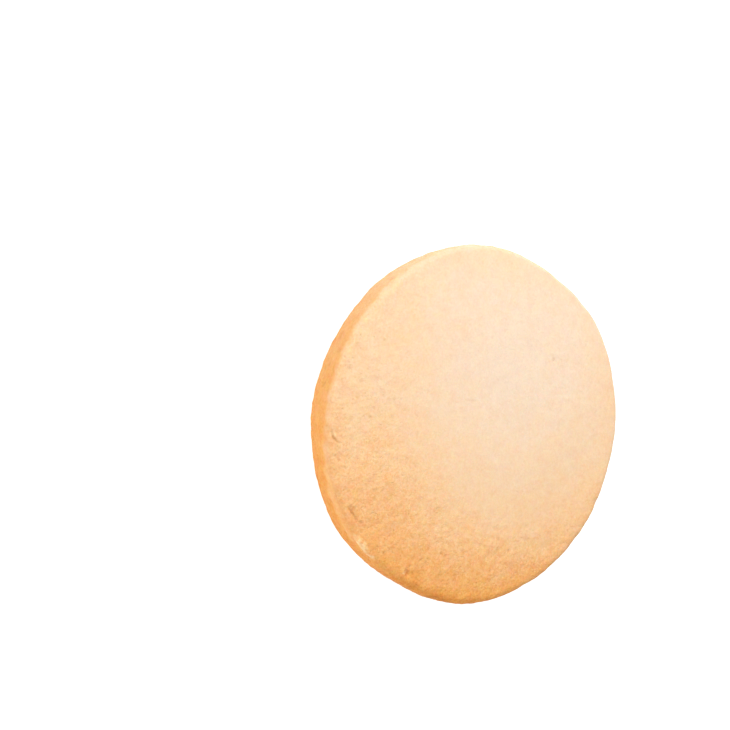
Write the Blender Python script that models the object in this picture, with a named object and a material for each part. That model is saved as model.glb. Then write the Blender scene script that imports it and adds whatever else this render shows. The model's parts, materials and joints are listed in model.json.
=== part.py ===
"""A thick round shortbread biscuit: one solid of baked dough that lies flat on its underside.

It was cut from rolled dough, so its top is flat, its side is steep and its edge is soft and a little uneven.
The model is in metres. Z points up, the origin is on the floor under the middle, and directions round the
biscuit are counted from +X towards +Y. The side nearest the viewer faces -Y.
"""

import math
import random

import bmesh
import bpy
from mathutils import Vector, noise

MM = 0.001

# Driving dimensions
MEAN_RADIUS = 30.17 * MM
THICKNESS = 8.0 * MM
SHOULDER_RADIUS = 1.25 * MM
BASE_EDGE_RADIUS = 1.1 * MM
SIDE_TAPER = math.tan(math.radians(6.0))

# The soft edge between top and side is rounder by this much on one side, and crisper on the opposite side.
SHOULDER_CHANGE = 0.30 * MM
ROUNDEST_SIDE = math.radians(352)

# The cut edge isn't a true circle: each row is a number of lobes round it, their height, and where one lies.
OUTLINE_LOBES = (
    (2, 0.78 * MM, math.radians(3)),
    (4, 0.20 * MM, math.radians(16)),
    (5, 0.07 * MM, math.radians(-18)),
    (6, 0.12 * MM, math.radians(11)),
    (8, 0.07 * MM, math.radians(4)),
)

# The top falls away towards its edge, mostly in its outer part, and the side swells out half way up.
CROWN_FALL = 0.35 * MM
CROWN_POWER = 4
SIDE_BULGE = 0.12 * MM

# Slow unevenness of the baked surfaces: the height of the swells, and the size of one
OUTLINE_SWELL = (0.14 * MM, 4.5 * MM)
TOP_SWELL = (0.16 * MM, 11.0 * MM)
SHOULDER_SWELL = (0.22 * MM, 9.0 * MM)
SIDE_SWELL = (0.20 * MM, 7.0 * MM)
RAGGED_BASE = (0.22 * MM, 2.4 * MM)

# Marks on the top and its edge: direction from the middle in degrees, distance in from the edge, length,
# width and height. A mark with a height below zero is pressed in, and each lies along the edge.
MARKS = {
    "edge_flake": (321.0, 0.0 * MM, 8.0 * MM, 1.6 * MM, 0.40 * MM),
    "crack_behind_flake": (309.8, 1.9 * MM, 4.4 * MM, 1.4 * MM, -0.10 * MM),
    "crescent_dent": (280.6, 1.9 * MM, 3.0 * MM, 1.8 * MM, -0.12 * MM),
    "near_pit": (288.8, 2.1 * MM, 2.8 * MM, 2.0 * MM, -0.12 * MM),
    "far_pit": (134.7, 11.2 * MM, 2.6 * MM, 1.8 * MM, -0.10 * MM),
    "low_pit": (341.0, 2.1 * MM, 2.4 * MM, 2.2 * MM, -0.18 * MM),
    "first_edge_chip": (226.3, 0.3 * MM, 3.2 * MM, 1.9 * MM, -0.30 * MM),
    "second_edge_chip": (234.8, 0.4 * MM, 2.6 * MM, 1.8 * MM, -0.24 * MM),
    "first_far_nick": (69.5, 0.3 * MM, 2.4 * MM, 2.2 * MM, -0.22 * MM),
    "second_far_nick": (55.0, 0.3 * MM, 2.0 * MM, 2.0 * MM, -0.18 * MM),
}

# Shallow hollows where the side has crumbled. Each is half as wide as it is long.
SIDE_HOLLOWS = 14
SIDE_HOLLOW_LENGTHS = (2.4 * MM, 5.0 * MM)
SIDE_HOLLOW_DEPTHS = (0.12 * MM, 0.30 * MM)
SIDE_HOLLOW_DROPS = (0.2, 0.9)
SIDE_HOLLOW_SLANT = 0.3
SIDE_HOLLOW_SEED = 11

# How finely the solid is divided
TOP_DIVISIONS = 52
SHOULDER_RINGS = 4
SIDE_RINGS = 4
BASE_RINGS = 3
UNDERSIDE_INNER_SHARE = 0.8
LEAST_UPWARD = 0.3

CRUST_COLOUR = (0.86, 0.56, 0.28, 1.0)
CRUST_ROUGHNESS = 0.78


def swell(place, unevenness):
    """Smooth noise at a place, scaled to a height and a bump size."""
    height, size = unevenness
    return height * noise.noise(place / size)


def direction(angle):
    return Vector((math.cos(angle), math.sin(angle), 0.0))


def outline_radius(angle):
    """Distance from the middle to the widest level of the side."""
    lobes = sum(height * math.cos(count * (angle - at)) for count, height, at in OUTLINE_LOBES)
    return MEAN_RADIUS + lobes + swell(direction(angle) * MEAN_RADIUS, OUTLINE_SWELL)


def shoulder_radius(angle):
    """The soft edge is rounder in some places than in others."""
    rounder = SHOULDER_CHANGE * math.cos(angle - ROUNDEST_SIDE)
    return SHOULDER_RADIUS + rounder + swell(direction(angle) * MEAN_RADIUS, SHOULDER_SWELL)


def top_point(angle, share):
    """A point of the top, where share runs from 0 in the middle to 1 where the soft edge begins."""
    flat = direction(angle) * share * (outline_radius(angle) - shoulder_radius(angle))
    height = THICKNESS - CROWN_FALL * share**CROWN_POWER + swell(flat, TOP_SWELL)
    return flat + Vector((0.0, 0.0, height))


def shoulder_point(angle, share):
    """A point of the quarter round that turns from the top to the side."""
    radius = shoulder_radius(angle)
    turn = share * math.pi / 2
    outward = direction(angle) * radius * math.sin(turn)
    down = Vector((0.0, 0.0, radius * (1.0 - math.cos(turn))))
    return top_point(angle, 1.0) + outward - down


def side_point(angle, share):
    """A point of the steep side. It leans in as it goes down and swells out half way."""
    start = shoulder_point(angle, 1.0)
    drop = share * (start.z - BASE_EDGE_RADIUS)
    inward = drop * SIDE_TAPER - SIDE_BULGE * math.sin(share * math.pi)
    point = start - direction(angle) * inward - Vector((0.0, 0.0, drop))
    fade_in = math.sin(share * math.pi / 2)
    return point + direction(angle) * fade_in * swell(point, SIDE_SWELL)


def base_point(angle, share):
    """A point of the ragged lower edge, which ends on the floor."""
    start = side_point(angle, 1.0)
    turn = share * math.pi / 2
    outward = -BASE_EDGE_RADIUS * (1.0 - math.cos(turn)) + math.sin(turn) * swell(start, RAGGED_BASE)
    point = start + direction(angle) * outward
    point.z = BASE_EDGE_RADIUS * (1.0 - math.sin(turn))
    return point


def lay_out_top(mesh):
    """Turns a square grid into the round top, and its border into the circle where the soft edge starts."""
    bmesh.ops.create_grid(mesh, x_segments=TOP_DIVISIONS, y_segments=TOP_DIVISIONS, size=1.0)
    for vertex in mesh.verts:
        across, along = vertex.co.x, vertex.co.y
        x = across * math.sqrt(1.0 - along * along / 2.0)
        y = along * math.sqrt(1.0 - across * across / 2.0)
        vertex.co = top_point(math.atan2(y, x), math.hypot(x, y))


def draw_down(mesh, shape, rings):
    """Extrudes the open edge ring by ring and sets each ring on a shape."""
    for ring in range(1, rings + 1):
        edge = [e for e in mesh.edges if e.is_boundary]
        made = bmesh.ops.extrude_edge_only(mesh, edges=edge)["geom"]
        for vertex in (g for g in made if isinstance(g, bmesh.types.BMVert)):
            vertex.co = shape(math.atan2(vertex.co.y, vertex.co.x), ring / rings)


def close_underside(mesh):
    """Lays one more ring on the floor and fills the middle with a flat face."""

    def inner_point(angle, _share):
        return base_point(angle, 1.0) * UNDERSIDE_INNER_SHARE

    draw_down(mesh, inner_point, 1)
    bmesh.ops.contextual_create(mesh, geom=[e for e in mesh.edges if e.is_boundary])


def press_mark(mesh, centre, along, length, width, height):
    """Raises or presses one oval mark, along the surface's own normals."""
    for vertex in mesh.verts:
        away = vertex.co - centre
        lengthwise = away.dot(along)
        sideways = (away - along * lengthwise).length
        reach = math.hypot(lengthwise / (length / 2), sideways / (width / 2))
        if reach < 1.0:
            vertex.co += vertex.normal * height * (1.0 - reach * reach) ** 2


def add_top_marks(mesh):
    for degrees, inset, length, width, height in MARKS.values():
        angle = math.radians(degrees)
        flat = direction(angle) * (outline_radius(angle) - inset)
        upper = [v for v in mesh.verts if v.normal.z > LEAST_UPWARD]
        nearest = min(upper, key=lambda v: (v.co.xy - flat.xy).length)
        along = Vector((-math.sin(angle), math.cos(angle), 0.0))
        press_mark(mesh, nearest.co.copy(), along, length, width, height)


def add_side_hollows(mesh):
    draw = random.Random(SIDE_HOLLOW_SEED)
    for _ in range(SIDE_HOLLOWS):
        angle = draw.uniform(0.0, 2 * math.pi)
        length = draw.uniform(*SIDE_HOLLOW_LENGTHS)
        depth = draw.uniform(*SIDE_HOLLOW_DEPTHS)
        centre = side_point(angle, draw.uniform(*SIDE_HOLLOW_DROPS))
        slant = draw.uniform(-SIDE_HOLLOW_SLANT, SIDE_HOLLOW_SLANT)
        along = Vector((-math.sin(angle), math.cos(angle), slant)).normalized()
        press_mark(mesh, centre, along, length, length / 2, -depth)


def put_middle_over_origin(mesh):
    xs = [v.co.x for v in mesh.verts]
    ys = [v.co.y for v in mesh.verts]
    middle = Vector((min(xs) + max(xs), min(ys) + max(ys), 0.0)) / 2
    bmesh.ops.translate(mesh, verts=mesh.verts, vec=-middle)


def crust_material():
    material = bpy.data.materials.new("baked_shortbread")
    material.use_nodes = True
    shader = material.node_tree.nodes["Principled BSDF"]
    shader.inputs["Base Color"].default_value = CRUST_COLOUR
    shader.inputs["Roughness"].default_value = CRUST_ROUGHNESS
    shader.inputs["Metallic"].default_value = 0.0
    return material


def make_biscuit():
    mesh = bmesh.new()
    lay_out_top(mesh)
    draw_down(mesh, shoulder_point, SHOULDER_RINGS)
    draw_down(mesh, side_point, SIDE_RINGS)
    draw_down(mesh, base_point, BASE_RINGS)
    close_underside(mesh)
    bmesh.ops.recalc_face_normals(mesh, faces=mesh.faces)
    mesh.normal_update()
    add_top_marks(mesh)
    add_side_hollows(mesh)
    put_middle_over_origin(mesh)
    bmesh.ops.triangulate(mesh, faces=mesh.faces)

    data = bpy.data.meshes.new("biscuit")
    mesh.to_mesh(data)
    mesh.free()
    data.shade_smooth()
    data.materials.append(crust_material())
    biscuit = bpy.data.objects.new("biscuit", data)
    bpy.context.scene.collection.objects.link(biscuit)
    return biscuit


def clear_scene():
    for thing in list(bpy.data.objects):
        bpy.data.objects.remove(thing)


clear_scene()
make_biscuit()
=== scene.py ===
# %% [markdown]
# # A thick round shortbread biscuit
# Shortbread is flour, butter and sugar, rolled thick, cut with a round cutter and baked until it is just set.
# It stays pale on top, turns golden on its side and under it, and breaks into sandy crumbs.
# The solid of the biscuit already exists, so this lesson starts by loading it. It gives the place and the
# size that everything below has to keep.

# %% Load the solid and note its box
import json
import math
import random

import bmesh
import bpy
from mathutils import Matrix, Vector, kdtree, noise

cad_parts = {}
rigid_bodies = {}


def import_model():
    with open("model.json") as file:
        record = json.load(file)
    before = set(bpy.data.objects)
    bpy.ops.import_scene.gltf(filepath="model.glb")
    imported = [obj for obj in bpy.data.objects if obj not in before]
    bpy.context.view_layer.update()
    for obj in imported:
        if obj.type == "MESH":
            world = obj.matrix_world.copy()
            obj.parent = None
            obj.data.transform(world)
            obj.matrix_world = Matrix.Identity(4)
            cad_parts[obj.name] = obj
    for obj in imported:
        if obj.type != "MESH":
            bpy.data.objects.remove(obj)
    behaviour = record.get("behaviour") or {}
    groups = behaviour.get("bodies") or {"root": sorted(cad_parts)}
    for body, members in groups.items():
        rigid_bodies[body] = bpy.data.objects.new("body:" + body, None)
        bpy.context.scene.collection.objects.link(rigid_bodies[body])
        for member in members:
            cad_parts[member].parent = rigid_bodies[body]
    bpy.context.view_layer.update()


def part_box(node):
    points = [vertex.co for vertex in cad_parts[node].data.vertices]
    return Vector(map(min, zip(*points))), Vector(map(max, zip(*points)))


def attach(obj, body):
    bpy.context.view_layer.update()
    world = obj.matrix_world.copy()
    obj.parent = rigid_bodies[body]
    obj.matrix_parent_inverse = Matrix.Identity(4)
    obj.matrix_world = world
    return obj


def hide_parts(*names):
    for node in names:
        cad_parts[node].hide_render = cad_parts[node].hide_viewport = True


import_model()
BISCUIT_LOW, BISCUIT_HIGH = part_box("biscuit")
MM = 0.001
print("biscuit solid, mm:", [round(side / MM, 2) for side in BISCUIT_HIGH - BISCUIT_LOW])

# %% [markdown]
# ## The form of the biscuit
# A biscuit could start as a cylinder, but a cylinder's top is one fan of long thin faces, and fine marks need
# small even ones. So the form is written as rules instead: one function for each stretch of the surface, from
# the middle of the top, over the soft edge, down the side and round the ragged base. Any mesh, coarse or
# fine, can then be laid on it. The sizes are those that the solid was made from. Directions are counted from
# +X towards +Y, and the side nearest the viewer faces -Y.

# %% Sizes that shape the biscuit
MEAN_RADIUS = 30.17 * MM
THICKNESS = 8.0 * MM
SHOULDER_RADIUS = 1.25 * MM
BASE_EDGE_RADIUS = 1.1 * MM
SIDE_TAPER = math.tan(math.radians(6.0))
SHOULDER_CHANGE = 0.30 * MM
ROUNDEST_SIDE = math.radians(352)
CROWN_FALL = 0.35 * MM
CROWN_POWER = 4
SIDE_BULGE = 0.12 * MM

# The cut edge isn't a true circle: each row is a number of lobes round it, their height, and where one lies.
OUTLINE_LOBES = (
    (2, 0.78 * MM, math.radians(3)),
    (4, 0.20 * MM, math.radians(16)),
    (5, 0.07 * MM, math.radians(-18)),
    (6, 0.12 * MM, math.radians(11)),
    (8, 0.07 * MM, math.radians(4)),
)

# Slow unevenness: the height of the swells, and the size of one
OUTLINE_SWELL = (0.14 * MM, 4.5 * MM)
TOP_SWELL = (0.16 * MM, 11.0 * MM)
SHOULDER_SWELL = (0.22 * MM, 9.0 * MM)
SIDE_SWELL = (0.20 * MM, 7.0 * MM)
RAGGED_BASE = (0.22 * MM, 2.4 * MM)
print("width across and thickness, mm:", round(2 * MEAN_RADIUS / MM, 1), round(THICKNESS / MM, 1))


# %% Small helpers for directions and swells
def swell(place, unevenness):
    """Smooth noise at a place, scaled to a height and a bump size."""
    height, size = unevenness
    return height * noise.noise(place / size)


def direction(angle):
    return Vector((math.cos(angle), math.sin(angle), 0.0))


def round_edge(angle):
    """The direction that runs along the edge."""
    return Vector((-math.sin(angle), math.cos(angle), 0.0))


def outline_radius(angle):
    """Distance from the middle to the widest level of the side."""
    lobes = sum(height * math.cos(count * (angle - at)) for count, height, at in OUTLINE_LOBES)
    return MEAN_RADIUS + lobes + swell(direction(angle) * MEAN_RADIUS, OUTLINE_SWELL)


def shoulder_radius(angle):
    """The soft edge is rounder in some places than in others."""
    rounder = SHOULDER_CHANGE * math.cos(angle - ROUNDEST_SIDE)
    return SHOULDER_RADIUS + rounder + swell(direction(angle) * MEAN_RADIUS, SHOULDER_SWELL)


for degrees in (0, 90, 180, 270):
    print("radius towards", degrees, "degrees, mm:", round(outline_radius(math.radians(degrees)) / MM, 2))


# %% Rules for the top, the soft edge, the side and the base
def top_point(angle, share):
    """A point of the top, where share runs from 0 in the middle to 1 where the soft edge begins."""
    flat = direction(angle) * share * (outline_radius(angle) - shoulder_radius(angle))
    height = THICKNESS - CROWN_FALL * share**CROWN_POWER + swell(flat, TOP_SWELL)
    return flat + Vector((0.0, 0.0, height))


def shoulder_point(angle, share):
    """A point of the quarter round that turns from the top to the side."""
    radius = shoulder_radius(angle)
    turn = share * math.pi / 2
    outward = direction(angle) * radius * math.sin(turn)
    down = Vector((0.0, 0.0, radius * (1.0 - math.cos(turn))))
    return top_point(angle, 1.0) + outward - down


def side_point(angle, share):
    """A point of the steep side. It leans in as it goes down and swells out half way."""
    start = shoulder_point(angle, 1.0)
    drop = share * (start.z - BASE_EDGE_RADIUS)
    inward = drop * SIDE_TAPER - SIDE_BULGE * math.sin(share * math.pi)
    point = start - direction(angle) * inward - Vector((0.0, 0.0, drop))
    fade_in = math.sin(share * math.pi / 2)
    return point + direction(angle) * fade_in * swell(point, SIDE_SWELL)


def base_point(angle, share):
    """A point of the ragged lower edge, which ends on the floor."""
    start = side_point(angle, 1.0)
    turn = share * math.pi / 2
    outward = -BASE_EDGE_RADIUS * (1.0 - math.cos(turn)) + math.sin(turn) * swell(start, RAGGED_BASE)
    point = start + direction(angle) * outward
    point.z = BASE_EDGE_RADIUS * (1.0 - math.sin(turn))
    return point


def underside_point(angle, share):
    return base_point(angle, 1.0) * share


for name, rule in {"top": top_point, "side": side_point, "base": base_point}.items():
    print("near the viewer, the", name, "ends at a height of, mm:", round(rule(-math.pi / 2, 1.0).z / MM, 2))

# %% [markdown]
# ## The mesh of the biscuit
# A square grid can be pulled into a disc so that every cell stays almost square: each row bends a little more
# the nearer it is to the border. The border then becomes the circle where the soft edge starts. The side is
# drawn down from that circle, one extruded ring at a time, which is how the editor's extrude works too. The
# underside is a second disc, and its border is merged with the last ring.

# %% Helpers that lay a grid out as a disc and draw its border down
DISC_DIVISIONS = 176


def lay_out_disc(mesh, shape):
    made = bmesh.ops.create_grid(mesh, x_segments=DISC_DIVISIONS, y_segments=DISC_DIVISIONS, size=1.0)
    for vertex in made["verts"]:
        across, along = vertex.co.x, vertex.co.y
        x = across * math.sqrt(1.0 - along * along / 2.0)
        y = along * math.sqrt(1.0 - across * across / 2.0)
        vertex.co = shape(math.atan2(y, x), math.hypot(x, y))


def draw_down(mesh, edge, shape, rings):
    """Extrudes a loop of edges ring by ring, and returns the last loop."""
    for ring in range(1, rings + 1):
        made = bmesh.ops.extrude_edge_only(mesh, edges=edge)["geom"]
        for vertex in (g for g in made if isinstance(g, bmesh.types.BMVert)):
            vertex.co = shape(math.atan2(vertex.co.y, vertex.co.x), ring / rings)
        edge = [g for g in made if isinstance(g, bmesh.types.BMEdge) and g.is_boundary]
    return edge


# %% Build the closed body
SHOULDER_RINGS = 8
SIDE_RINGS = 21
BASE_RINGS = 6
MERGE_DISTANCE = 0.002 * MM

body = bmesh.new()
lay_out_disc(body, top_point)
rim = [edge for edge in body.edges if edge.is_boundary]
rim = draw_down(body, rim, shoulder_point, SHOULDER_RINGS)
rim = draw_down(body, rim, side_point, SIDE_RINGS)
draw_down(body, rim, base_point, BASE_RINGS)
lay_out_disc(body, underside_point)
bmesh.ops.remove_doubles(body, verts=body.verts, dist=MERGE_DISTANCE)
bmesh.ops.recalc_face_normals(body, faces=body.faces)
body.normal_update()
print("closed body:", len(body.faces), "faces, open edges:", sum(edge.is_boundary for edge in body.edges))

# %% [markdown]
# ## Finer mesh where sharp marks go
# A crack is about as narrow as one cell of the mesh, which is a third of a millimetre. Making every cell
# smaller would be wasteful, so only the places that get a crack, a flake or a clear pit are divided again.
# The tables of places come first, because both the dividing and the pressing need them.

# %% Where the marks lie
# Large marks, as on the solid: direction from the middle in degrees, distance in from the edge, length, width
# and height. A mark with a height below zero is pressed in, and each lies along the edge.
MARKS = {
    "edge_flake": (321.0, 0.0 * MM, 8.0 * MM, 1.6 * MM, 0.40 * MM),
    "crack_behind_flake": (309.8, 1.9 * MM, 4.4 * MM, 1.4 * MM, -0.10 * MM),
    "crescent_dent": (280.6, 1.9 * MM, 3.0 * MM, 1.8 * MM, -0.12 * MM),
    "near_pit": (288.8, 2.1 * MM, 2.8 * MM, 2.0 * MM, -0.12 * MM),
    "far_pit": (134.7, 11.2 * MM, 2.6 * MM, 1.8 * MM, -0.10 * MM),
    "low_pit": (341.0, 2.1 * MM, 2.4 * MM, 2.2 * MM, -0.18 * MM),
    "first_edge_chip": (226.3, 0.3 * MM, 3.2 * MM, 1.9 * MM, -0.30 * MM),
    "second_edge_chip": (234.8, 0.4 * MM, 2.6 * MM, 1.8 * MM, -0.24 * MM),
    "first_far_nick": (69.5, 0.3 * MM, 2.4 * MM, 2.2 * MM, -0.22 * MM),
    "second_far_nick": (55.0, 0.3 * MM, 2.0 * MM, 2.0 * MM, -0.18 * MM),
}

# Cracks: direction, distance in, heading in degrees, length, how far the middle bows to the left, and depth
CRACKS = {
    "crescent": (281.2, 1.95 * MM, 47, 3.2 * MM, -0.60 * MM, 0.28 * MM),
    "behind_flake": (309.4, 1.65 * MM, 46, 4.2 * MM, 0.10 * MM, 0.20 * MM),
    "left_long": (247.7, 17.01 * MM, 85, 5.1 * MM, -0.25 * MM, 0.04 * MM),
    "middle": (209.0, 25.85 * MM, 95, 3.0 * MM, -0.10 * MM, 0.06 * MM),
    "upper": (217.6, 4.84 * MM, 80, 3.6 * MM, 0.15 * MM, 0.04 * MM),
    "short_dash": (269.4, 8.05 * MM, 98, 1.8 * MM, 0.05 * MM, 0.06 * MM),
    "hook": (347.4, 10.56 * MM, 93, 3.0 * MM, 0.35 * MM, 0.06 * MM),
    "low_wave": (19.1, 12.71 * MM, 72, 3.8 * MM, 0.20 * MM, 0.05 * MM),
    "lower_wave": (16.0, 9.81 * MM, 88, 3.5 * MM, -0.20 * MM, 0.06 * MM),
}

# Clear single pits: direction, distance in, radius and depth
PITS = {
    "upper_left": (240.4, 5.5 * MM, 0.42 * MM, 0.12 * MM),
    "left": (267.6, 4.2 * MM, 0.38 * MM, 0.12 * MM),
    "first_near_twin": (287.7, 1.3 * MM, 0.36 * MM, 0.14 * MM),
    "second_near_twin": (289.5, 2.0 * MM, 0.40 * MM, 0.15 * MM),
    "behind_flake": (313.9, 2.4 * MM, 0.44 * MM, 0.16 * MM),
    "first_low_twin": (343.7, 5.3 * MM, 0.42 * MM, 0.18 * MM),
    "second_low_twin": (345.9, 5.2 * MM, 0.44 * MM, 0.16 * MM),
    "low_rim": (340.8, 2.0 * MM, 0.60 * MM, 0.24 * MM),
    "first_low_pair": (351.7, 7.9 * MM, 0.46 * MM, 0.16 * MM),
    "second_low_pair": (353.9, 7.8 * MM, 0.42 * MM, 0.14 * MM),
    "low_middle": (26.1, 7.5 * MM, 0.40 * MM, 0.14 * MM),
    "far": (135.0, 11.3 * MM, 0.48 * MM, 0.10 * MM),
}
print("large marks:", len(MARKS), "cracks:", len(CRACKS), "single pits:", len(PITS))


# %% Helpers that find places and divide the mesh round them
def surface_tree(mesh):
    """A search tree that finds the vertices near a place."""
    mesh.verts.ensure_lookup_table()
    mesh.verts.index_update()
    search = kdtree.KDTree(len(mesh.verts))
    for vertex in mesh.verts:
        search.insert(vertex.co, vertex.index)
    search.balance()
    return search


def place_on_top(degrees, inset):
    """The vertex of the top, or of the soft edge, that lies about this far in from the outline."""
    angle = math.radians(degrees)
    flat = direction(angle) * (outline_radius(angle) - inset)
    return tree.find(Vector((flat.x, flat.y, THICKNESS)))[0]


def divide_round(mesh, search, centre, reach):
    """Halves every edge that lies within reach of a place."""
    mesh.verts.ensure_lookup_table()
    near = {mesh.verts[index] for _place, index, _distance in search.find_range(centre, reach)}
    edges = {edge for vertex in near for edge in vertex.link_edges if edge.other_vert(vertex) in near}
    bmesh.ops.subdivide_edges(mesh, edges=list(edges), cuts=1, use_grid_fill=True)


# %% Divide the mesh again round the sharp marks
REACH_ROUND_MARK = 0.8 * MM

tree = surface_tree(body)
sharp_places = [(row[0], row[1], row[3] / 2) for row in CRACKS.values()]
sharp_places += [(degrees, inset, radius) for degrees, inset, radius, _depth in PITS.values()]
flake_degrees, flake_inset, flake_length, _width, _height = MARKS["edge_flake"]
sharp_places.append((flake_degrees, flake_inset, flake_length / 2))
for degrees, inset, reach in sharp_places:
    divide_round(body, tree, place_on_top(degrees, inset), reach + REACH_ROUND_MARK)
body.normal_update()
tree = surface_tree(body)
print("faces after dividing:", len(body.faces))

# %% [markdown]
# ## Press the marks
# Every biscuit has marks by which it is known: here a raised flake on the edge with a crack behind it, a
# small crescent crack, some pits, two chips and two nicks. Each is pressed into the surface, or raised from
# it, along the surface's own normals, so that one rule works on the top and on the soft edge alike. The moves
# are only noted for now and made all at once at the end, so that no mark disturbs the search for the next.
# How deep each vertex goes in a pit or a crack is kept too, because pits and cracks are darkened as painted
# shade.

# %% Helpers that press an oval mark
moved = [Vector((0.0, 0.0, 0.0)) for _vertex in body.verts]


def reach_in_oval(place, centre, along, length, width):
    """0 in the middle of an oval that lies along a direction, and 1 on its border."""
    away = place - centre
    lengthwise = away.dot(along)
    sideways = (away - along * lengthwise).length
    return math.hypot(lengthwise / (length / 2), sideways / (width / 2))


def press_mark(centre, along, length, width, height):
    """Raises or presses one oval mark."""
    for place, index, _distance in tree.find_range(centre, max(length, width) / 2):
        reach = reach_in_oval(place, centre, along, length, width)
        if reach < 1.0:
            moved[index] += body.verts[index].normal * height * (1.0 - reach * reach) ** 2


# %% Press the large marks and the hollows of the side
SIDE_HOLLOWS = 14
SIDE_HOLLOW_LENGTHS = (2.4 * MM, 5.0 * MM)
SIDE_HOLLOW_DEPTHS = (0.12 * MM, 0.30 * MM)
SIDE_HOLLOW_DROPS = (0.2, 0.9)
SIDE_HOLLOW_SLANT = 0.3
SIDE_HOLLOW_SEED = 11

for degrees, inset, length, width, height in MARKS.values():
    press_mark(place_on_top(degrees, inset), round_edge(math.radians(degrees)), length, width, height)

draw = random.Random(SIDE_HOLLOW_SEED)
for _ in range(SIDE_HOLLOWS):
    angle = draw.uniform(0.0, 2 * math.pi)
    length = draw.uniform(*SIDE_HOLLOW_LENGTHS)
    depth = draw.uniform(*SIDE_HOLLOW_DEPTHS)
    centre = side_point(angle, draw.uniform(*SIDE_HOLLOW_DROPS))
    slant = draw.uniform(-SIDE_HOLLOW_SLANT, SIDE_HOLLOW_SLANT)
    along = (round_edge(angle) + Vector((0.0, 0.0, slant))).normalized()
    press_mark(centre, along, length, length / 2, -depth)
print("large marks and hollows:", len(MARKS) + SIDE_HOLLOWS)

# %% Helpers for pits and cracks
FULL_DIP = 0.22 * MM
CRACK_REACH = 0.36 * MM
CRACK_STEPS = 14
CRACK_WOBBLE = (0.10 * MM, 0.5 * MM)

dips = [0.0] * len(body.verts)


def sink(index, depth, strength):
    """Notes that a vertex goes in, and how much painted shade will darken it there."""
    moved[index] -= body.verts[index].normal * depth * strength
    dips[index] += depth / FULL_DIP * strength


def press_pit(centre, radius, depth):
    for _place, index, distance in tree.find_range(centre, radius):
        sink(index, depth, (1.0 - (distance / radius) ** 2) ** 2)


def crack_line(centre, heading, length, bow):
    """Points along a crack: a shallow arc that wobbles, and the share of the full depth at each."""
    along, aside = direction(heading), direction(heading + math.pi / 2)
    for step in range(CRACK_STEPS + 1):
        run = 2 * step / CRACK_STEPS - 1
        spot = centre + along * run * length / 2 + aside * bow * (1 - run * run)
        yield spot + aside * swell(spot, CRACK_WOBBLE), 1 - run * run


def cut_crack(centre, heading, length, bow, depth):
    """Each vertex takes the deepest cut that any point of the crack gives it."""
    cuts = {}
    for spot, share in crack_line(centre, heading, length, bow):
        for _place, index, distance in tree.find_range(spot, CRACK_REACH):
            cut = share * (1.0 - (distance / CRACK_REACH) ** 2) ** 2
            cuts[index] = max(cut, cuts.get(index, 0.0))
    for index, cut in cuts.items():
        sink(index, depth, cut)


# %% Press the single pits and cut the cracks
for degrees, inset, radius, depth in PITS.values():
    press_pit(place_on_top(degrees, inset), radius, depth)
for degrees, inset, heading, length, bow, depth in CRACKS.values():
    cut_crack(place_on_top(degrees, inset), math.radians(heading), length, bow, depth)
print("vertices in pits and cracks:", sum(dip > 0 for dip in dips))

# %% [markdown]
# ## How brown each place is, with painted shade and light
# Dough browns where it is hottest and driest: least in the middle of the top, more towards the rim, most on
# the side and where it lay on the tray. Towards one side the top, its rim and its side are browner, partly
# because an oven is never even and partly as painted shade, since that side lies away from the window. The
# far side is painted paler, as painted light. One number for each place holds all this, browning and painted
# shade and light alike. It gives the colour later, and here it also tells how coarse the surface is, because
# a browner crust has lost more moisture and stands rougher.

# %% How brown the top, the side and the underside are, with painted shade and light
MIDDLE_BROWNING = -0.085
RIM_BROWNING = 0.56
# The lean towards one side is partly uneven baking and partly painted shade on the side away from the window.
SHADED_HOTTER_SIDE_INSIDE = math.radians(332)
SHADED_HOTTER_SIDE = math.radians(350)
SHADED_HOTTER_BY = 0.54
INNER_LEAN = 0.5
SIDE_BROWNING = 0.86
SIDE_SHADED_HOTTER_BY = 0.30
FOOT_BROWNING = 0.15
UNDERSIDE_BROWNING = 1.25
UNDERSIDE_FACES_DOWN = (0.55, 0.95)

# Stretches round the edge that differ: the middle of each, how narrow it is, and how much browner it is
# there, or how much paler where the last number is below zero
# The far side of the top is paler as painted light.
LIT_PALER_FAR_SIDE = (math.radians(90), 2, -0.12)
PALER_RIM = (math.radians(280), 6, -0.18)
# The rim band on the side away from the window is browner, partly baked and partly painted shade where it
# turns away from the light.
SHADED_BROWNER_RIM = (math.radians(6), 9, 0.19)
PALER_SIDE = (math.radians(205), 10, -0.27)
# The side there is browner too, partly baked and partly painted shade where it faces away from the light.
SHADED_BROWNER_SIDE = (math.radians(358), 8, 0.18)

# Between which shares of the way out the two rims come in
PALER_RIM_SHARES = (0.62, 0.90)
SHADED_BROWNER_RIM_SHARES = (0.88, 1.0)

# The side's colour begins about this far below the border of the top, and grows over up to twice the second
# length. Where it begins wanders, and it lies lower in some stretches, or higher where the last number is
# below zero.
SIDE_COLOUR_DROP = 0.85 * MM
SIDE_COLOUR_SOFTNESS = 0.70 * MM
SIDE_COLOUR_WANDER = (0.8 * MM, 2.2 * MM)
SIDE_COLOUR_LOWER = (
    (math.radians(305), 14, 1.6 * MM),
    (math.radians(62), 6, 1.0 * MM),
    (math.radians(5), 4, -0.5 * MM),
    (math.radians(273), 50, -0.5 * MM),
)
# The hotter side is also the side painted with shade.
print("the hottest side lies towards, degrees:", round(math.degrees(SHADED_HOTTER_SIDE)))


# %% Rules for the browning
def smooth_step(low, high, value):
    """Rises from 0 at the low value to 1 at the high one, with soft ends."""
    share = min(1.0, max(0.0, (value - low) / (high - low)))
    return share * share * (3 - 2 * share)


def near_side(angle, difference):
    """How much of a difference is felt in a direction: all of it in its middle, less on both sides."""
    middle, narrowness, amount = difference
    return amount * max(0.0, math.cos(angle - middle)) ** narrowness


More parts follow.
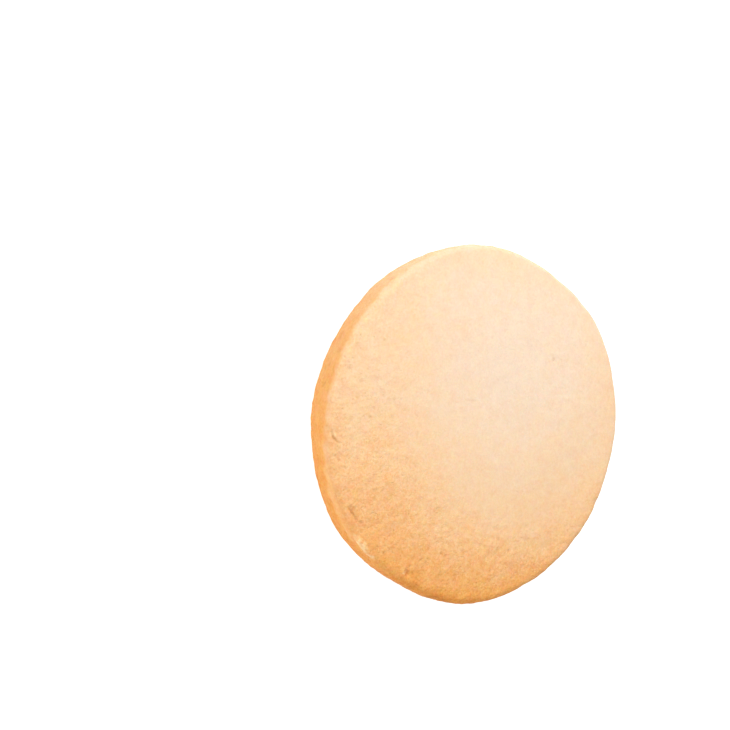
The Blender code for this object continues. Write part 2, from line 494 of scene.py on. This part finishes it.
def top_browning_and_shading(angle, share):
    # Towards one side the top is browner, partly baked and partly painted shade. The far side is painted
    # paler as painted light, and the rim on the shaded side is browner, partly as painted shade.
    shaded_hotter_here = SHADED_HOTTER_SIDE_INSIDE + (SHADED_HOTTER_SIDE - SHADED_HOTTER_SIDE_INSIDE) * share**2
    lean = SHADED_HOTTER_BY * share * (1.0 + INNER_LEAN * (1.0 - share))
    browning_and_shading = MIDDLE_BROWNING + RIM_BROWNING * share**2 + lean * math.cos(angle - shaded_hotter_here)
    browning_and_shading += near_side(angle, LIT_PALER_FAR_SIDE) * share**2
    browning_and_shading += near_side(angle, PALER_RIM) * smooth_step(*PALER_RIM_SHARES, share)
    return browning_and_shading + near_side(angle, SHADED_BROWNER_RIM) * smooth_step(*SHADED_BROWNER_RIM_SHARES, share)


def side_browning_and_shading(angle, height):
    # Towards the side away from the window the side is browner, partly baked and partly painted shade.
    browning_and_shading = SIDE_BROWNING + SIDE_SHADED_HOTTER_BY * math.cos(angle - SHADED_HOTTER_SIDE)
    browning_and_shading += FOOT_BROWNING * (1.0 - height / THICKNESS) ** 2
    return browning_and_shading + near_side(angle, PALER_SIDE) + near_side(angle, SHADED_BROWNER_SIDE)


def browning_and_shading_at(place, normal):
    """0 where the dough stays pale, 1 where it is amber, more where it is brown, with painted shade and
    light.
    """
    angle = math.atan2(place.y, place.x)
    share = min(1.0, place.xy.length / outline_radius(angle))
    top = top_browning_and_shading(angle, share)
    side = side_browning_and_shading(angle, place.z)
    border = SIDE_COLOUR_DROP + swell(place, SIDE_COLOUR_WANDER)
    border += sum(near_side(angle, difference) for difference in SIDE_COLOUR_LOWER)
    drop = top_point(angle, 1.0).z - place.z
    sideways = smooth_step(max(0.0, border - SIDE_COLOUR_SOFTNESS), border + SIDE_COLOUR_SOFTNESS, drop)
    around = top + (side - top) * sideways
    downwards = smooth_step(*UNDERSIDE_FACES_DOWN, -normal.z)
    return around + (UNDERSIDE_BROWNING - around) * downwards


brownings_and_shading = [browning_and_shading_at(vertex.co, vertex.normal) for vertex in body.verts]
print("browning from", round(min(brownings_and_shading), 2), "to", round(max(brownings_and_shading), 2))

# %% [markdown]
# ## Where the crust is rubbed, and painted highlights
# A crisp edge is easily knocked. Where the crust is rubbed or freshly broken, the pale crumb under it shows.
# The same pale colour is also painted as a highlight on the flake's ridge, the crescent's lip, a pit's rim
# and the stretch of edge that faces the window, so each oval is partly crumb and partly painted highlight.
# How much of it shows is noted for each vertex, in a few listed ovals.

# %% Rub the crust off and paint highlights in ovals
# Each row is a direction, a distance in, a heading in degrees, a length, a width and how much pale crumb and
# painted highlight shows.
RUBBED_AND_HIGHLIT = {
    "flake_ridge": (321.5, -0.1 * MM, 48, 8.8 * MM, 1.7 * MM, 0.66),
    "crescent_lip": (280.4, 1.5 * MM, 40, 2.6 * MM, 0.8 * MM, 0.45),
    "first_chip_and_highlight": (221.7, 1.6 * MM, 60, 3.4 * MM, 1.4 * MM, 0.36),
    "second_chip_and_highlight": (220.4, 0.6 * MM, 140, 2.6 * MM, 1.2 * MM, 0.36),
    "third_chip_and_highlight": (231.0, 0.8 * MM, 141, 4.2 * MM, 1.5 * MM, 0.36),
    "fourth_chip_and_highlight": (238.8, 0.8 * MM, 149, 2.4 * MM, 1.6 * MM, 0.40),
    "fifth_chip_and_highlight": (244.6, 0.7 * MM, 155, 2.8 * MM, 1.4 * MM, 0.40),
    "sixth_chip_and_highlight": (252.0, 0.6 * MM, 162, 3.6 * MM, 1.2 * MM, 0.36),
    "low_patch": (333.5, 2.5 * MM, 66, 3.2 * MM, 1.6 * MM, 0.36),
    "low_crumb_and_highlight": (339.6, 1.8 * MM, 70, 1.2 * MM, 0.9 * MM, 0.40),
}

rubbed_and_highlit = [0.0] * len(body.verts)


# Notes pale crumb and painted highlight in one oval.
def rub_and_highlight(centre, along, length, width, amount):
    for place, index, _distance in tree.find_range(centre, length / 2):
        reach = reach_in_oval(place, centre, along, length, width)
        if reach < 1.0:
            rubbed_and_highlit[index] = max(rubbed_and_highlit[index], amount * (1.0 - reach**4))


for degrees, inset, heading, length, width, amount in RUBBED_AND_HIGHLIT.values():
    rub_and_highlight(place_on_top(degrees, inset), direction(math.radians(heading)), length, width, amount)
print("rubbed vertices:", sum(amount > 0 for amount in rubbed_and_highlit))

# %% [markdown]
# ## Scattered pits and a sandy grain
# Butter bubbles leave small pits all over, and flour and sugar leave a sandy grain. The pits that are larger
# than a cell of the mesh are pressed into it here, and the rest is left to the material. A seed makes the
# scatter the same on every run. The underside lay on a tray, so its pits only go up into the dough.

# %% How coarse each place is
COARSE_FROM = 0.05
COARSE_TO = 0.65
LEAST_COARSE = 0.28
COARSER_SIDE = math.radians(238)
COARSER_BY = 0.18
SIDE_COARSE = 0.50
SIDE_FACES_UP = (0.30, 0.90)


def coarseness(place, normal, browning_and_shading):
    """Browner places are coarser, one side is coarser than the other, and the cut side is smooth."""
    angle = math.atan2(place.y, place.x)
    lean = COARSER_BY * math.cos(angle - COARSER_SIDE) * place.xy.length / MEAN_RADIUS
    coarse = LEAST_COARSE + (1.0 - LEAST_COARSE) * smooth_step(COARSE_FROM, COARSE_TO, browning_and_shading + lean)
    flat = smooth_step(*SIDE_FACES_UP, abs(normal.z))
    return coarse * (SIDE_COARSE + (1.0 - SIDE_COARSE) * flat)


coarse_places = [coarseness(v.co, v.normal, browning_and_shading) for v, browning_and_shading in zip(body.verts, brownings_and_shading)]
print("coarseness from", round(min(coarse_places), 2), "to", round(max(coarse_places), 2))

# %% Scatter the pits
SCATTER_SEED = 5
TOP_PITS = 420
SIDE_PITS = 520
UNDERSIDE_PITS = 620
TOP_PIT_RADII = (0.30 * MM, 0.62 * MM)
SIDE_PIT_RADII = (0.32 * MM, 0.80 * MM)
UNDERSIDE_PIT_RADII = (0.40 * MM, 1.10 * MM)
PIT_DEPTH_SHARES = (0.10, 0.28)


def scatter_pits(count, radii, place_for):
    """Presses pits at drawn places. Smooth places get fewer and shallower ones."""
    for _ in range(count):
        spot = place_for()
        radius = draw.uniform(*radii)
        depth = radius * draw.uniform(*PIT_DEPTH_SHARES)
        _place, index, _distance = tree.find(spot)
        coarse = coarse_places[index]
        if draw.random() < coarse:
            press_pit(spot, radius, depth * coarse)


def drawn_angle():
    return draw.uniform(0.0, 2 * math.pi)


def drawn_share():
    """The square root spreads places evenly over a disc."""
    return math.sqrt(draw.random())


draw = random.Random(SCATTER_SEED)
scatter_pits(TOP_PITS, TOP_PIT_RADII, lambda: top_point(drawn_angle(), drawn_share()))
scatter_pits(SIDE_PITS, SIDE_PIT_RADII, lambda: side_point(drawn_angle(), draw.random()))
scatter_pits(UNDERSIDE_PITS, UNDERSIDE_PIT_RADII, lambda: underside_point(drawn_angle(), drawn_share()))
print("vertices in pits and cracks now:", sum(dip > 0 for dip in dips))

# %% Roughen the surface and make all the moves
# The cutter drags the side, so its marks are drawn out up and down: a place's height counts only in part.
GRAIN = (0.12 * MM, 0.85 * MM)
WRINKLE = (0.15 * MM, 2.60 * MM)
DRAG_MARKS = (0.10 * MM, 1.30 * MM)
DRAG_HEIGHT_SHARE = 0.25

for vertex in body.verts:
    place, normal = vertex.co, vertex.normal
    coarse = coarse_places[vertex.index]
    upright = 1.0 - abs(normal.z)
    drag_place = Vector((place.x, place.y, place.z * DRAG_HEIGHT_SHARE))
    rough = coarse * (swell(place, GRAIN) + swell(place, WRINKLE)) + upright * swell(drag_place, DRAG_MARKS)
    moved[vertex.index] += normal * rough

for vertex in body.verts:
    vertex.co += moved[vertex.index]
    vertex.co.z = max(0.0, vertex.co.z)
print("deepest move, mm:", round(max(step.length for step in moved) / MM, 3))

# %% [markdown]
# ## The finished piece
# The worked mesh is moved so that its box has the same middle as the solid's, and becomes one object. What
# was worked out for each vertex goes with it as attributes: how brown it is, with painted shade and light in
# it, how coarse, how deep in a dip, which sets painted shade there, and how much pale crumb and painted
# highlight it shows. The material reads them later. The piece takes the place of the solid biscuit in the
# picture and keeps its name for the material.

# %% Turn the mesh into the biscuit piece
middle = (BISCUIT_LOW + BISCUIT_HIGH) / 2
xs = [vertex.co.x for vertex in body.verts]
ys = [vertex.co.y for vertex in body.verts]
own_middle = Vector((min(xs) + max(xs), min(ys) + max(ys), 0.0)) / 2
offset = Vector((middle.x, middle.y, 0.0)) - own_middle
bmesh.ops.translate(body, verts=body.verts, vec=offset)

data = bpy.data.meshes.new("shortbread_round")
body.to_mesh(data)
body.free()
data.shade_smooth()
for name, values in {"browning_and_shading": brownings_and_shading, "coarse": coarse_places, "dip": dips, "rubbed_and_highlit": rubbed_and_highlit}.items():
    data.attributes.new(name, "FLOAT", "POINT").data.foreach_set("value", values)

biscuit = bpy.data.objects.new("shortbread_round", data)
bpy.context.scene.collection.objects.link(biscuit)
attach(biscuit, "root")
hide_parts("biscuit")
data.calc_loop_triangles()
print("triangles:", len(data.loop_triangles), "offset, mm:", [round(c / MM, 3) for c in offset])

# %% [markdown]
# ## Baked dough
# Baked shortbread is matt and slightly translucent, so its material scatters a little light inside and has a
# rough, weak shine. Its colour runs from cream over straw and gold to brown along one ramp. The browning of
# each vertex, with its painted shade and light, picks the place on the ramp, and soft noise shifts it: broad
# and small patches, mottling, speckle and dust. The fine noise also changes the brightness a little, because
# grains of sugar and flour shade each other. Where the crust is rubbed, the ramp gives way to the colour of
# the crumb, and the same pale colour stands as a painted highlight on some lips, ridges and rims.

# %% Helpers for building a material
MIDDLE_OF_NOISE = 0.5


def add_node(graph, kind, **settings):
    node = graph.nodes.new(kind)
    for name, value in settings.items():
        setattr(node, name, value)
    return node


def plug(graph, value, socket):
    """Links an output to a socket, or sets the socket to a plain number."""
    if isinstance(value, bpy.types.NodeSocket):
        graph.links.new(value, socket)
    else:
        socket.default_value = value


def calculate(graph, operation, first, second):
    node = add_node(graph, "ShaderNodeMath", operation=operation)
    plug(graph, first, node.inputs[0])
    plug(graph, second, node.inputs[1])
    return node.outputs["Value"]


def spread(graph, value, low, high, new_low, new_high):
    """Maps one range onto another with soft ends."""
    node = add_node(graph, "ShaderNodeMapRange", interpolation_type="SMOOTHSTEP")
    plug(graph, value, node.inputs["Value"])
    node.inputs["From Min"].default_value = low
    node.inputs["From Max"].default_value = high
    node.inputs["To Min"].default_value = new_low
    node.inputs["To Max"].default_value = new_high
    return node.outputs["Result"]


def noise_of_size(graph, place, size, detail):
    """Soft noise above and below zero, with bumps of one size."""
    node = add_node(graph, "ShaderNodeTexNoise")
    graph.links.new(place, node.inputs["Vector"])
    node.inputs["Scale"].default_value = 1.0 / size
    node.inputs["Detail"].default_value = detail
    return calculate(graph, "SUBTRACT", node.outputs["Fac"], MIDDLE_OF_NOISE)


def weighed_noise(graph, place, patches, detail):
    """Noise of one size, times the amount that goes with it."""
    size, amount = patches
    return calculate(graph, "MULTIPLY", noise_of_size(graph, place, size, detail), amount)


def kept_value(graph, name):
    """Reads what was worked out for each vertex."""
    return add_node(graph, "ShaderNodeAttribute", attribute_name=name).outputs["Fac"]


# %% Browning that varies at five sizes
# Each is the size of a patch, and how much it shifts the browning.
BROAD_PATCHES = (11.0 * MM, 0.26)
SMALL_PATCHES = (3.6 * MM, 0.34)
MOTTLE = (1.6 * MM, 0.31)
SPECKLE_SIZE = 0.45 * MM
SPECKLE_SHIFT = 0.50
DUST_SIZE = 0.22 * MM
DUST_SHIFT = 0.20
PATCH_DETAIL = 2.0
DUST_DETAIL = 1.0
LEAST_MOTTLED = 0.68

dough = bpy.data.materials.new("baked_shortbread_dough")
dough.use_nodes = True
graph = dough.node_tree
shader = graph.nodes["Principled BSDF"]
place = add_node(graph, "ShaderNodeTexCoord").outputs["Object"]
coarse = kept_value(graph, "coarse")
mottled = spread(graph, coarse, LEAST_COARSE, 1.0, LEAST_MOTTLED, 1.0)

broad = weighed_noise(graph, place, BROAD_PATCHES, PATCH_DETAIL)
small = weighed_noise(graph, place, SMALL_PATCHES, PATCH_DETAIL)
mottle = weighed_noise(graph, place, MOTTLE, PATCH_DETAIL)
speckle = noise_of_size(graph, place, SPECKLE_SIZE, PATCH_DETAIL)
dust = noise_of_size(graph, place, DUST_SIZE, DUST_DETAIL)
fine = calculate(graph, "ADD", mottle, calculate(graph, "MULTIPLY", speckle, SPECKLE_SHIFT))
fine = calculate(graph, "ADD", fine, calculate(graph, "MULTIPLY", dust, DUST_SHIFT))
fine = calculate(graph, "MULTIPLY", fine, mottled)
uneven = calculate(graph, "ADD", calculate(graph, "ADD", broad, small), fine)
# The browning holds painted shade and light as well.
total = calculate(graph, "ADD", kept_value(graph, "browning_and_shading"), uneven)
print("nodes for the varied browning:", len(graph.nodes))

# %% Colours along the browning
CRUST_COLOURS = (
    (-0.3, (0.720, 0.560, 0.420, 1.0)),
    (0.0, (0.735, 0.530, 0.350, 1.0)),
    (0.35, (0.755, 0.489, 0.272, 1.0)),
    (0.6, (0.760, 0.432, 0.198, 1.0)),
    (0.8, (0.755, 0.380, 0.138, 1.0)),
    (1.0, (0.735, 0.340, 0.095, 1.0)),
    (1.25, (0.690, 0.270, 0.055, 1.0)),
    (1.6, (0.450, 0.155, 0.035, 1.0)),
)
PALEST = CRUST_COLOURS[0][0]
BROWNEST = CRUST_COLOURS[-1][0]

ramp_node = add_node(graph, "ShaderNodeValToRGB")
ramp = ramp_node.color_ramp
while len(ramp.elements) < len(CRUST_COLOURS):
    ramp.elements.new(1.0)
for element, (amount, colour) in zip(ramp.elements, CRUST_COLOURS):
    element.position = (amount - PALEST) / (BROWNEST - PALEST)
    element.color = colour
share = calculate(graph, "DIVIDE", calculate(graph, "SUBTRACT", total, PALEST), BROWNEST - PALEST)
graph.links.new(share, ramp_node.inputs["Fac"])
print("colours on the ramp:", len(ramp.elements))

# %% Crumb that shows through the crust, and painted highlights of the same colour
# Partly the colour of the crumb and partly a painted highlight
CRUMB_AND_HIGHLIGHT_COLOUR = (0.86, 0.575, 0.30, 1.0)
CRUMB_AND_HIGHLIGHT_BREAKS = (0.8 * MM, 1.6)
CRUMB_AND_HIGHLIGHT_DETAIL = 3.0
CRUMB_AND_HIGHLIGHT_SHOWS = (0.25, 0.90)

crumb_and_highlight_noise = weighed_noise(graph, place, CRUMB_AND_HIGHLIGHT_BREAKS, CRUMB_AND_HIGHLIGHT_DETAIL)
crumb_and_highlight_share = calculate(graph, "ADD", kept_value(graph, "rubbed_and_highlit"), crumb_and_highlight_noise)
crumb_and_highlight = add_node(graph, "ShaderNodeMix", data_type="RGBA", clamp_factor=True)
graph.links.new(spread(graph, crumb_and_highlight_share, *CRUMB_AND_HIGHLIGHT_SHOWS, 0.0, 1.0), crumb_and_highlight.inputs["Factor"])
graph.links.new(ramp_node.outputs["Color"], crumb_and_highlight.inputs["A"])
crumb_and_highlight.inputs["B"].default_value = CRUMB_AND_HIGHLIGHT_COLOUR
print("nodes with the crumb:", len(graph.nodes))

# %% Slight changes of hue and brightness
HUE_PATCHES = (1.2 * MM, 0.03)
HUE_DETAIL = 1.0
UNCHANGED_HUE = 0.5
GRAIN_DARKENING = 0.30

hue = add_node(graph, "ShaderNodeHueSaturation")
hue_noise = weighed_noise(graph, place, HUE_PATCHES, HUE_DETAIL)
graph.links.new(calculate(graph, "ADD", hue_noise, UNCHANGED_HUE), hue.inputs["Hue"])
brightness = calculate(graph, "SUBTRACT", 1.0, calculate(graph, "MULTIPLY", fine, GRAIN_DARKENING))
graph.links.new(brightness, hue.inputs["Value"])
graph.links.new(crumb_and_highlight.outputs["Result"], hue.inputs["Color"])
print("nodes with hue and brightness:", len(graph.nodes))

# %% [markdown]
# ## Pores and shine
# Many pores are too small for the mesh, so they come from a cell pattern, which has one spot in each cell.
# The pattern's own random colours decide which spots are strong. Pores and dips darken the colour as painted
# shade, and the pores and the finest grain also dent the surface, as relief in the material.

# %% Pores and dips darken the colour as painted shade
PORE_SPACING = 0.80 * MM
PORE_REACH = 0.34
PORE_STRENGTHS = (0.25, 0.95)
# How strong the painted shade in pores and dips is, and the darker colour it multiplies in
PORE_PAINTED_SHADE = 0.22
DIP_PAINTED_SHADE = 0.42
PIT_SHADE_COLOUR = (0.54, 0.40, 0.18, 1.0)

cells = add_node(graph, "ShaderNodeTexVoronoi")
graph.links.new(place, cells.inputs["Vector"])
cells.inputs["Scale"].default_value = 1.0 / PORE_SPACING
cell_number = add_node(graph, "ShaderNodeSeparateColor")
graph.links.new(cells.outputs["Color"], cell_number.inputs["Color"])
pore = spread(graph, cells.outputs["Distance"], 0.0, PORE_REACH, 1.0, 0.0)
strength = spread(graph, cell_number.outputs["Red"], *PORE_STRENGTHS, 0.0, 1.0)
pore = calculate(graph, "MULTIPLY", pore, strength)
pore = calculate(graph, "MULTIPLY", pore, coarse)

# Painted shade in pores and dips
pit_shade = calculate(graph, "MULTIPLY", pore, PORE_PAINTED_SHADE)
pit_shade = calculate(graph, "ADD", pit_shade, calculate(graph, "MULTIPLY", kept_value(graph, "dip"), DIP_PAINTED_SHADE))
shade = add_node(graph, "ShaderNodeMix", data_type="RGBA", blend_type="MULTIPLY", clamp_factor=True)
graph.links.new(pit_shade, shade.inputs["Factor"])
graph.links.new(hue.outputs["Color"], shade.inputs["A"])
shade.inputs["B"].default_value = PIT_SHADE_COLOUR
graph.links.new(shade.outputs["Result"], shader.inputs["Base Color"])
print("nodes with pores and dips:", len(graph.nodes))

# %% Relief, shine and the light inside
# Each relief is a share of the full height.
RELIEF_HEIGHT = 1.0 * MM
GRAIN_RELIEF = 0.18
DUST_RELIEF = 0.05
PORE_RELIEF = 0.08
SPECKLE_RANGE = (-0.25, 0.25)
ROUGHNESS_RANGE = (0.62, 0.86)
SHINE = 0.12
SCATTER_SHARE = 0.18
SCATTER_RADIUS = (1.0, 0.5, 0.25)
SCATTER_DEPTH = 0.8 * MM

grain_height = calculate(graph, "MULTIPLY", speckle, GRAIN_RELIEF)
fine_height = calculate(graph, "MULTIPLY", dust, DUST_RELIEF)
height = calculate(graph, "ADD", grain_height, fine_height)
height = calculate(graph, "MULTIPLY", height, coarse)
height = calculate(graph, "SUBTRACT", height, calculate(graph, "MULTIPLY", pore, PORE_RELIEF))
bump = add_node(graph, "ShaderNodeBump")
bump.inputs["Distance"].default_value = RELIEF_HEIGHT
graph.links.new(height, bump.inputs["Height"])
graph.links.new(bump.outputs["Normal"], shader.inputs["Normal"])

graph.links.new(spread(graph, speckle, *SPECKLE_RANGE, *ROUGHNESS_RANGE), shader.inputs["Roughness"])
shader.inputs["Specular IOR Level"].default_value = SHINE
shader.inputs["Subsurface Weight"].default_value = SCATTER_SHARE
shader.inputs["Subsurface Radius"].default_value = SCATTER_RADIUS
shader.inputs["Subsurface Scale"].default_value = SCATTER_DEPTH
data.materials.append(dough)
print("nodes in the dough:", len(graph.nodes))

# %% [markdown]
# ## The floor
# Food is often photographed on a lit white table: light from below takes away the shadow and leaves a clean
# white ground. A large plane that glows does the same, and it also lights the side of the biscuit and the
# lower edge, which would look dull otherwise. The plane lies a hair below the biscuit, so that the two flat
# faces don't flicker into each other where they are seen from below.

# %% Lay the lit table
FLOOR_REACH = 3.0
FLOOR_GAP = 0.01 * MM
FLOOR_COLOUR = (0.5, 0.5, 0.5, 1.0)
FLOOR_GLOW = 0.76
WHITE = (1.0, 1.0, 1.0, 1.0)

floor_mesh = bmesh.new()
bmesh.ops.create_grid(floor_mesh, x_segments=1, y_segments=1, size=FLOOR_REACH)
floor_data = bpy.data.meshes.new("lit_table")
floor_mesh.to_mesh(floor_data)
floor_mesh.free()
floor = bpy.data.objects.new("lit_table", floor_data)
floor.location.z = BISCUIT_LOW.z - FLOOR_GAP
bpy.context.scene.collection.objects.link(floor)

opal = bpy.data.materials.new("opal_glass")
opal.use_nodes = True
opal_shader = opal.node_tree.nodes["Principled BSDF"]
opal_shader.inputs["Base Color"].default_value = FLOOR_COLOUR
opal_shader.inputs["Roughness"].default_value = 1.0
opal_shader.inputs["Specular IOR Level"].default_value = 0.0
opal_shader.inputs["Emission Color"].default_value = WHITE
opal_shader.inputs["Emission Strength"].default_value = FLOOR_GLOW
floor_data.materials.append(opal)
print("lit table:", 2 * FLOOR_REACH, "m wide, glow", FLOOR_GLOW)

# %% [markdown]
# ## The camera
# The view is steep, and the picture's up direction isn't the world's up: the camera is rolled, so that the
# near side of the biscuit shows as a narrow strip on the left of its face. A long lens keeps the far rim from
# looking much smaller than the near one. The aim is turned until the middle of the top falls on a chosen
# pixel.

# %% Work out which way the camera faces
VIEW_ELEVATION = math.radians(58)
VIEW_ROLL = math.radians(8.8)
VIEW_DISTANCE = 450 * MM
PICTURE_SIZE = 730
PIXELS_PER_MM = 5.77
TOP_MIDDLE_PIXEL = (478.3, 425.9)

back = Vector((0.0, -math.cos(VIEW_ELEVATION), math.sin(VIEW_ELEVATION)))
away = Vector((0.0, math.sin(VIEW_ELEVATION), math.cos(VIEW_ELEVATION)))
picture_right = away * math.cos(VIEW_ROLL) + back.cross(away) * math.sin(VIEW_ROLL)
picture_up = back.cross(picture_right)
straight_on = Matrix((picture_right, picture_up, back)).transposed()

focal_pixels = PIXELS_PER_MM * VIEW_DISTANCE / MM
to_the_right = TOP_MIDDLE_PIXEL[0] - PICTURE_SIZE / 2
downwards = TOP_MIDDLE_PIXEL[1] - PICTURE_SIZE / 2
towards_pixel = Vector((to_the_right, -downwards, -focal_pixels))
aim = towards_pixel.rotation_difference(Vector((0.0, 0.0, -1.0))).to_matrix()
print("the picture's up direction:", [round(c, 2) for c in picture_up])

# %% Place the camera
SENSOR_WIDTH = 36.0
NEAREST_SEEN = 0.01
FARTHEST_SEEN = 10.0

camera_data = bpy.data.cameras.new("camera")
camera_data.sensor_width = SENSOR_WIDTH
camera_data.lens = SENSOR_WIDTH * focal_pixels / PICTURE_SIZE
camera_data.clip_start = NEAREST_SEEN
camera_data.clip_end = FARTHEST_SEEN
camera = bpy.data.objects.new("camera", camera_data)
top_middle = Vector((offset.x, offset.y, THICKNESS))
camera_place = Matrix.Translation(top_middle + back * VIEW_DISTANCE)
camera.matrix_world = camera_place @ (straight_on @ aim).to_4x4()
bpy.context.scene.collection.objects.link(camera)
bpy.context.scene.camera = camera
print("lens, mm:", round(camera_data.lens, 1))

# %% [markdown]
# ## The light
# Three lights and the glow of the table make a bright, soft picture. The room is white and lights everything
# evenly. The window stands close by, beyond the top of the picture, so the face grows dimmer away from it and
# the grain throws tiny shadows. A larger white board stands near the viewer and keeps the side strip from
# going grey.

# %% Set the lights
ROOM_STRENGTH = 0.55
WINDOW_PLACE = Vector((-0.192, 0.030, 0.181))
WINDOW_SIZE = 0.11
WINDOW_WATTS = 0.55
BOARD_PLACE = Vector((0.115, -0.247, 0.23))
BOARD_SIZE = 0.25
BOARD_WATTS = 0.60


def area_light(name, place, size, watts):
    """A square light that faces the biscuit."""
    light = bpy.data.lights.new(name, "AREA")
    light.shape = "SQUARE"
    light.size = size
    light.energy = watts
    lamp = bpy.data.objects.new(name, light)
    lamp.location = place
    lamp.rotation_euler = (top_middle - place).to_track_quat("-Z", "Y").to_euler()
    bpy.context.scene.collection.objects.link(lamp)


room = bpy.data.worlds.new("white_room")
room.use_nodes = True
room_light = room.node_tree.nodes["Background"]
room_light.inputs["Color"].default_value = WHITE
room_light.inputs["Strength"].default_value = ROOM_STRENGTH
bpy.context.scene.world = room
area_light("window", WINDOW_PLACE, WINDOW_SIZE, WINDOW_WATTS)
area_light("white_board", BOARD_PLACE, BOARD_SIZE, BOARD_WATTS)
bpy.context.scene.view_settings.view_transform = "Standard"
print("window is", round((WINDOW_PLACE - top_middle).length / MM), "mm from the biscuit")

# %% [markdown]
# ## Finish
# The dressed biscuit has to stay as large as its solid.

# %% Finish
bpy.context.view_layer.update()
